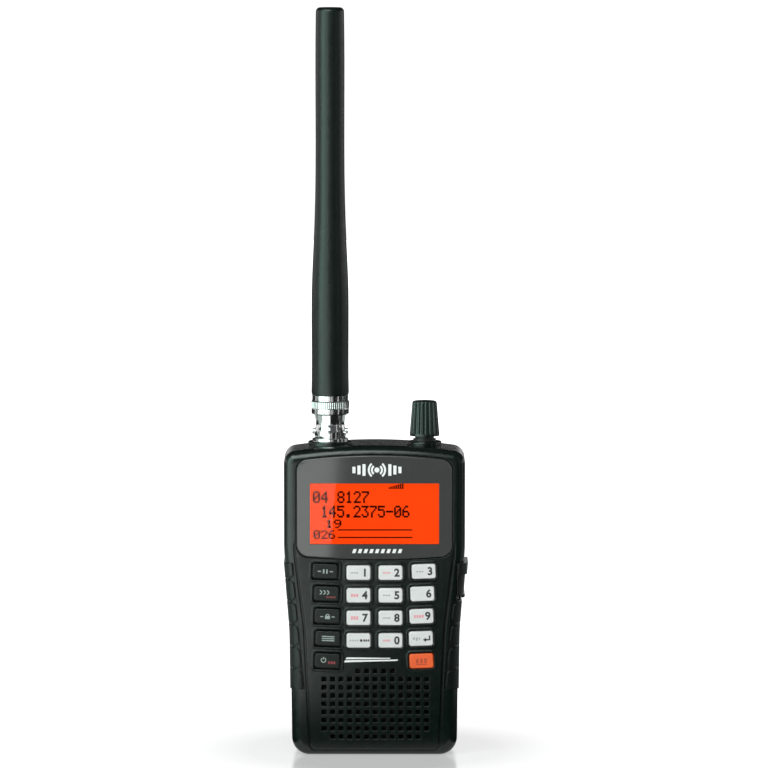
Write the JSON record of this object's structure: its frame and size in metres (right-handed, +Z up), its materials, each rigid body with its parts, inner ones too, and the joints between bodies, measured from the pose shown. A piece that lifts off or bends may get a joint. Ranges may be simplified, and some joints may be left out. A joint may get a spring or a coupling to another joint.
{
  "type": "handheld scanner radio",
  "caption": "Handheld radio scanner: rounded black case, lit display, press keys, speaker grille, side grips, control knob and a tall rubber antenna on a bayonet plug.",
  "frame": {"origin": "centre of the flat base of the case, midway between front and back", "axes": "+Z up along the antenna, -Y towards the user, +X to the viewer's right"},
  "size_m": [0.068, 0.0334, 0.2754],
  "materials": {
    "case_black": "fine moulded texture, soft gloss",
    "inner_black": "moulded, unpainted",
    "bezel_grey": "polished",
    "lens_clear": "clear, polished",
    "lcd_orange": "lit from behind",
    "light_white": "diffusing",
    "key_dark": "soft silicone",
    "key_pale": "moulded, printed",
    "key_orange": "moulded, printed",
    "grip_rubber": "soft moulded rubber",
    "antenna_rubber": "smooth moulded rubber",
    "knob_black": "moulded, satin",
    "chrome": "bright plated",
    "steel": "plated steel",
    "brass": "machined",
    "board_green": "solder mask",
    "mat_grey": "silicone",
    "paper_cone": "pressed fibre",
    "mesh_black": "fine dust mesh",
    "ptfe": "white, waxy",
    "cell_wrap": "plain printed sleeve"
  },
  "bodies": {
    "housing": {"antenna_jack": "chrome", "backlight": "light_white", "battery_cells": "cell_wrap", "battery_plates": "steel", "battery_springs": "steel", "belt_clip_inserts": "brass", "board_screws": "steel", "case_screws": "steel", "display_bezel": "bezel_grey", "display_lens": "lens_clear", "encoder_body": "inner_black", "encoder_nut": "inner_black", "front_case": "case_black", "headphone_jack": "inner_black", "jack_contact": "brass", "jack_insulator": "ptfe", "jack_nut": "chrome", "key_board": "board_green", "keypad_mat": "mat_grey", "lcd_frame": "inner_black", "lcd_panel": "lcd_orange", "left_grip": "grip_rubber", "main_board": "board_green", "rear_case": "case_black", "rf_shield": "steel", "right_grip": "grip_rubber", "speaker_cone": "paper_cone", "speaker_frame": "steel", "speaker_magnet": "steel", "speaker_mesh": "mesh_black", "usb_socket": "steel"},
    "antenna": {"antenna_plug": "chrome", "plug_pin": "brass", "plug_insulator": "ptfe", "antenna_core": "brass", "antenna_sheath": "antenna_rubber"},
    "coupling_nut": {"coupling_nut": "chrome"},
    "push_actuator": {"push_actuator": "inner_black"},
    "knob": {"encoder_shaft": "steel", "control_knob": "knob_black"},
    "jack_cover": {"jack_cover": "grip_rubber"},
    "battery_door": {"battery_door": "case_black"},
    "key_0": {"key_0": "key_pale"},
    "key_1": {"key_1": "key_pale"},
    "key_2": {"key_2": "key_pale"},
    "key_3": {"key_3": "key_pale"},
    "key_4": {"key_4": "key_pale"},
    "key_5": {"key_5": "key_pale"},
    "key_6": {"key_6": "key_pale"},
    "key_7": {"key_7": "key_pale"},
    "key_8": {"key_8": "key_pale"},
    "key_9": {"key_9": "key_pale"},
    "key_dot": {"key_dot": "key_pale"},
    "key_enter": {"key_enter": "key_pale"},
    "key_func": {"key_func": "key_orange"},
    "key_hold": {"key_hold": "key_dark"},
    "key_lockout": {"key_lockout": "key_dark"},
    "key_menu": {"key_menu": "key_dark"},
    "key_power": {"key_power": "key_dark"},
    "key_scan": {"key_scan": "key_dark"}
  },
  "joints": [
    {"name": "key_0_press", "type": "slide", "parent": "housing", "child": "key_0", "axis": [0, 1, 0], "range_m": [0, 0.0008], "stiffness_N_per_m": 200, "springref_m": -0.0005},
    {"name": "key_1_press", "type": "slide", "parent": "housing", "child": "key_1", "axis": [0, 1, 0], "range_m": [0, 0.0008], "stiffness_N_per_m": 200, "springref_m": -0.0005},
    {"name": "key_2_press", "type": "slide", "parent": "housing", "child": "key_2", "axis": [0, 1, 0], "range_m": [0, 0.0008], "stiffness_N_per_m": 200, "springref_m": -0.0005},
    {"name": "key_3_press", "type": "slide", "parent": "housing", "child": "key_3", "axis": [0, 1, 0], "range_m": [0, 0.0008], "stiffness_N_per_m": 200, "springref_m": -0.0005},
    {"name": "key_4_press", "type": "slide", "parent": "housing", "child": "key_4", "axis": [0, 1, 0], "range_m": [0, 0.0008], "stiffness_N_per_m": 200, "springref_m": -0.0005},
    {"name": "key_5_press", "type": "slide", "parent": "housing", "child": "key_5", "axis": [0, 1, 0], "range_m": [0, 0.0008], "stiffness_N_per_m": 200, "springref_m": -0.0005},
    {"name": "key_6_press", "type": "slide", "parent": "housing", "child": "key_6", "axis": [0, 1, 0], "range_m": [0, 0.0008], "stiffness_N_per_m": 200, "springref_m": -0.0005},
    {"name": "key_7_press", "type": "slide", "parent": "housing", "child": "key_7", "axis": [0, 1, 0], "range_m": [0, 0.0008], "stiffness_N_per_m": 200, "springref_m": -0.0005},
    {"name": "key_8_press", "type": "slide", "parent": "housing", "child": "key_8", "axis": [0, 1, 0], "range_m": [0, 0.0008], "stiffness_N_per_m": 200, "springref_m": -0.0005},
    {"name": "key_9_press", "type": "slide", "parent": "housing", "child": "key_9", "axis": [0, 1, 0], "range_m": [0, 0.0008], "stiffness_N_per_m": 200, "springref_m": -0.0005},
    {"name": "key_dot_press", "type": "slide", "parent": "housing", "child": "key_dot", "axis": [0, 1, 0], "range_m": [0, 0.0008], "stiffness_N_per_m": 200, "springref_m": -0.0005},
    {"name": "key_enter_press", "type": "slide", "parent": "housing", "child": "key_enter", "axis": [0, 1, 0], "range_m": [0, 0.0008], "stiffness_N_per_m": 200, "springref_m": -0.0005},
    {"name": "key_func_press", "type": "slide", "parent": "housing", "child": "key_func", "axis": [0, 1, 0], "range_m": [0, 0.0008], "stiffness_N_per_m": 200, "springref_m": -0.0005},
    {"name": "key_hold_press", "type": "slide", "parent": "housing", "child": "key_hold", "axis": [0, 1, 0], "range_m": [0, 0.0008], "stiffness_N_per_m": 200, "springref_m": -0.0005},
    {"name": "key_lockout_press", "type": "slide", "parent": "housing", "child": "key_lockout", "axis": [0, 1, 0], "range_m": [0, 0.0008], "stiffness_N_per_m": 200, "springref_m": -0.0005},
    {"name": "key_menu_press", "type": "slide", "parent": "housing", "child": "key_menu", "axis": [0, 1, 0], "range_m": [0, 0.0008], "stiffness_N_per_m": 200, "springref_m": -0.0005},
    {"name": "key_power_press", "type": "slide", "parent": "housing", "child": "key_power", "axis": [0, 1, 0], "range_m": [0, 0.0008], "stiffness_N_per_m": 200, "springref_m": -0.0005},
    {"name": "key_scan_press", "type": "slide", "parent": "housing", "child": "key_scan", "axis": [0, 1, 0], "range_m": [0, 0.0008], "stiffness_N_per_m": 200, "springref_m": -0.0005},
    {"name": "antenna_lift", "type": "slide", "parent": "housing", "child": "antenna", "axis": [0, 0, 1], "range_m": [0, 0.0015]},
    {"name": "nut_turn", "type": "hinge", "parent": "antenna", "child": "coupling_nut", "pos_m": [-0.0164, 0, 0.1225], "axis": [0, 0, 1], "range_deg": [0, 80]},
    {"name": "knob_push", "type": "slide", "parent": "housing", "child": "push_actuator", "axis": [0, 0, -1], "range_m": [0, 0.0005], "stiffness_N_per_m": 800, "springref_m": -0.001},
    {"name": "knob_turn", "type": "hinge", "parent": "push_actuator", "child": "knob", "pos_m": [0.0185, 0, 0.115], "axis": [0, 0, 1], "continuous": true},
    {"name": "jack_cover_swing", "type": "hinge", "parent": "housing", "child": "jack_cover", "pos_m": [0.0326, 0, 0.0589], "axis": [0, 1, 0], "range_deg": [0, 115]},
    {"name": "battery_door_slide", "type": "slide", "parent": "housing", "child": "battery_door", "axis": [0, 0, -1], "range_m": [0, 0.0055]}
  ],
  "couplings": [
    {"joint": "nut_turn", "follows": "antenna_lift", "rad_per_m": 930.75}
  ]
}
